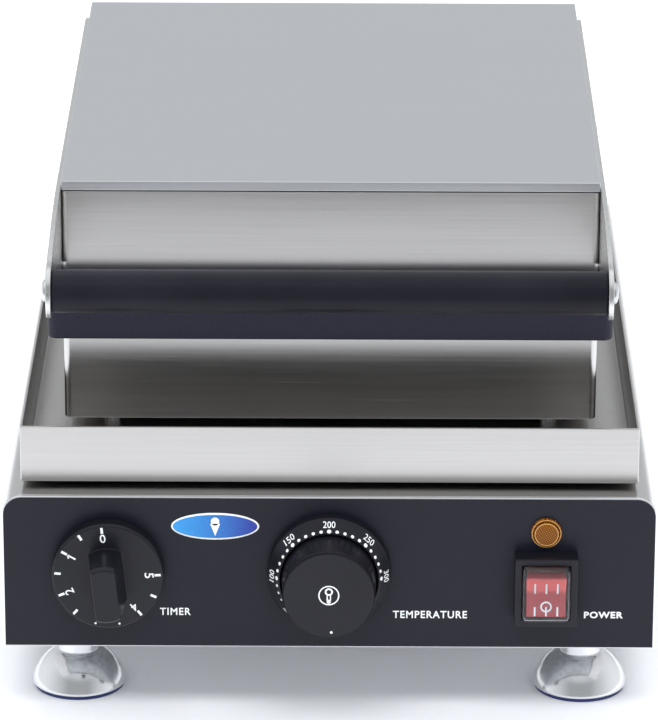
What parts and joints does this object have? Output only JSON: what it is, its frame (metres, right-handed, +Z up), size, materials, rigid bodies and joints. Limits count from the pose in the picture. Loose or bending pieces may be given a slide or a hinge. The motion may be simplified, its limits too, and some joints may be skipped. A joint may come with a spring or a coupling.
{
  "type": "waffle cone maker",
  "caption": "Counter-top electric waffle cone maker with a hinged baking head on a drip tray, a base with timer, thermostat and power switch, and levelling feet.",
  "frame": {"origin": "on the table, under the middle of the whole object's box", "axes": "+Z up, -Y out of the control panel towards the user, +X to the user's right"},
  "size_m": [0.26, 0.411, 0.2074],
  "materials": {
    "brushed_stainless": "brushed, directional grain, semi-gloss",
    "satin_stainless": "fine satin grain",
    "galvanised": "matt mill finish",
    "black_panel": "satin black coating",
    "coated_cast": "cast aluminium with a matt black non-stick coating",
    "bright_steel": "bright zinc plating",
    "plated_brass": "turned, slightly dulled",
    "braided_steel": "braided steel sleeve",
    "heater_sheath": "oxidised stainless sheath",
    "ceramic_wool": "fibrous, matt",
    "black_plastic": "moulded phenolic, satin",
    "black_grip": "moulded phenolic, satin with a soft highlight",
    "red_rocker": "translucent red, glossy",
    "clear_cap": "clear flexible PVC",
    "amber_lens": "translucent amber, moulded cross-hatch",
    "ivory_plastic": "moulded nylon",
    "porcelain": "unglazed steatite",
    "wire_jacket": "fibreglass sleeve over silicone wires",
    "foot_chrome": "polished chrome plating",
    "blue_rubber": "smooth blue rubber"
  },
  "bodies": {
    "base": {"body_shell": "brushed_stainless", "front_panel": "black_panel", "back_panel": "brushed_stainless", "bottom_plate": "galvanised", "case_screws": "bright_steel", "cable_gland": "black_plastic", "terminal_block": "porcelain", "wiring": "wire_jacket", "drip_tray": "brushed_stainless", "lower_housing": "brushed_stainless", "housing_legs": "bright_steel", "leg_bolts": "bright_steel", "wire_duct": "bright_steel", "housing_screws": "bright_steel", "lower_plate": "coated_cast", "lower_element": "heater_sheath", "lower_clamp": "galvanised", "lower_insulation": "ceramic_wool", "hinge_brackets": "brushed_stainless", "hinge_shaft": "bright_steel", "shaft_clips": "bright_steel", "lid_stop_rod": "bright_steel", "base_gland": "plated_brass", "conduit": "braided_steel", "timer_movement": "black_plastic", "dial_ring": "black_plastic", "thermostat_body": "bright_steel", "thermostat_bulb": "bright_steel", "switch_bezel": "black_plastic", "switch_body": "black_plastic", "switch_cap": "clear_cap", "lamp_lens": "amber_lens", "lamp_body": "ivory_plastic"},
    "lid": {"upper_plate": "coated_cast", "upper_element": "heater_sheath", "upper_clamp": "galvanised", "upper_insulation": "ceramic_wool", "lid_box": "brushed_stainless", "lid_cover": "satin_stainless", "lid_screws": "bright_steel", "left_arm": "brushed_stainless", "right_arm": "brushed_stainless", "handle_grip": "black_grip", "handle_rod": "bright_steel", "handle_screws": "bright_steel", "hinge_bushes": "plated_brass", "lid_gland": "plated_brass"},
    "timer_dial": {"timer_knob": "black_plastic", "timer_shaft": "plated_brass"},
    "thermostat_dial": {"thermostat_knob": "black_plastic", "thermostat_shaft": "bright_steel"},
    "power_rocker": {"switch_rocker": "red_rocker"},
    "levelling_foot_front_left": {"foot_front_left": "foot_chrome", "pad_front_left": "blue_rubber"},
    "levelling_foot_front_right": {"foot_front_right": "foot_chrome", "pad_front_right": "blue_rubber"},
    "levelling_foot_rear_left": {"foot_rear_left": "foot_chrome", "pad_rear_left": "blue_rubber"},
    "levelling_foot_rear_right": {"foot_rear_right": "foot_chrome", "pad_rear_right": "blue_rubber"}
  },
  "joints": [
    {"name": "lid_hinge", "type": "hinge", "parent": "base", "child": "lid", "pos_m": [0, 0.1562, 0.15665], "axis": [-1, 0, 0], "range_deg": [0, 100], "deforming": ["conduit"]},
    {"name": "timer_turn", "type": "hinge", "parent": "base", "child": "timer_dial", "pos_m": [-0.0879, -0.178, 0.0635], "axis": [0, 1, 0], "range_deg": [0, 270]},
    {"name": "thermostat_turn", "type": "hinge", "parent": "base", "child": "thermostat_dial", "pos_m": [0, -0.178, 0.0635], "axis": [0, 1, 0], "range_deg": [0, 272]},
    {"name": "switch_rock", "type": "hinge", "parent": "base", "child": "power_rocker", "pos_m": [0.0862, -0.176, 0.0577], "axis": [-1, 0, 0], "range_deg": [0, 14]},
    {"name": "foot_front_left_turn", "type": "hinge", "parent": "base", "child": "levelling_foot_front_left", "pos_m": [-0.102, -0.146, 0.02], "axis": [0, 0, 1], "continuous": true},
    {"name": "foot_front_right_turn", "type": "hinge", "parent": "base", "child": "levelling_foot_front_right", "pos_m": [0.102, -0.146, 0.02], "axis": [0, 0, 1], "continuous": true},
    {"name": "foot_rear_left_turn", "type": "hinge", "parent": "base", "child": "levelling_foot_rear_left", "pos_m": [-0.102, 0.1535, 0.02], "axis": [0, 0, 1], "continuous": true},
    {"name": "foot_rear_right_turn", "type": "hinge", "parent": "base", "child": "levelling_foot_rear_right", "pos_m": [0.102, 0.1535, 0.02], "axis": [0, 0, 1], "continuous": true}
  ]
}
